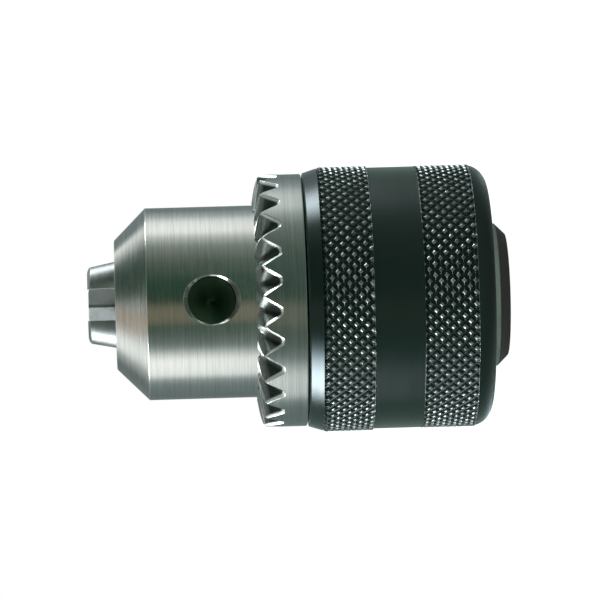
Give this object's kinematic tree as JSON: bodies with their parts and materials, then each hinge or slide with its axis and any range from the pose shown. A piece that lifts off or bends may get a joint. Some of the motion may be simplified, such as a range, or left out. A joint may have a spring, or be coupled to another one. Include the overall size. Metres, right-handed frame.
{
  "type": "drill chuck",
  "caption": "Keyed drill chuck: stepped steel body with gripping jaws, a toothed ring and a knurled grip sleeve that turns to drive the jaws through a split nut.",
  "frame": {"origin": "centre of the hub's flat rear face", "axes": "+Z along the spindle axis toward the nose and jaws; the first key hole faces -Y"},
  "size_m": [0.0344, 0.0344, 0.0545],
  "materials": {
    "body_steel": "turned and ground, bright, with fine lines round the axis",
    "jaw_steel": "hardened and ground",
    "gear_steel": "satin machined, with bright tooth edges",
    "black_oxide": "blackened, semi-gloss, worn bright on the knurl's crests",
    "nut_steel": "machined and oiled",
    "bearing_steel": "ground bright",
    "cage_brass": "stamped, dull"
  },
  "bodies": {
    "body": {"chuck_body": "body_steel", "rear_race": "bearing_steel"},
    "sleeve": {"grip_sleeve": "black_oxide", "gear_ring": "gear_steel", "nut_half_a": "nut_steel", "nut_half_b": "nut_steel", "front_race": "bearing_steel"},
    "cage": {"ball_cage": "cage_brass", "ball_1": "bearing_steel", "ball_2": "bearing_steel", "ball_3": "bearing_steel", "ball_4": "bearing_steel", "ball_5": "bearing_steel", "ball_6": "bearing_steel", "ball_7": "bearing_steel", "ball_8": "bearing_steel", "ball_9": "bearing_steel", "ball_10": "bearing_steel", "ball_11": "bearing_steel", "ball_12": "bearing_steel", "ball_13": "bearing_steel", "ball_14": "bearing_steel", "ball_15": "bearing_steel", "ball_16": "bearing_steel"},
    "jaw_1": {"jaw_1": "jaw_steel"},
    "jaw_2": {"jaw_2": "jaw_steel"},
    "jaw_3": {"jaw_3": "jaw_steel"}
  },
  "joints": [
    {"name": "sleeve_spin", "type": "hinge", "parent": "body", "child": "sleeve", "pos_m": [0, 0, 0], "axis": [0, 0, 1], "range_deg": [-1968, 2530]},
    {"name": "cage_spin", "type": "hinge", "parent": "body", "child": "cage", "pos_m": [0, 0, 0], "axis": [0, 0, 1], "range_deg": [-984, 1265]},
    {"name": "jaw_1_slide", "type": "slide", "parent": "body", "child": "jaw_1", "axis": [0.1948, 0.1125, 0.9744], "range_m": [-0.01125, 0.00875]},
    {"name": "jaw_2_slide", "type": "slide", "parent": "body", "child": "jaw_2", "axis": [-0.1948, 0.1125, 0.9744], "range_m": [-0.01125, 0.00875]},
    {"name": "jaw_3_slide", "type": "slide", "parent": "body", "child": "jaw_3", "axis": [0, -0.225, 0.9744], "range_m": [-0.01125, 0.00875]}
  ],
  "couplings": [
    {"joint": "cage_spin", "follows": "sleeve_spin", "ratio": 0.5},
    {"joint": "jaw_1_slide", "follows": "sleeve_spin", "m_per_rad": -0.00025465},
    {"joint": "jaw_2_slide", "follows": "sleeve_spin", "m_per_rad": -0.00025465},
    {"joint": "jaw_3_slide", "follows": "sleeve_spin", "m_per_rad": -0.00025465}
  ]
}
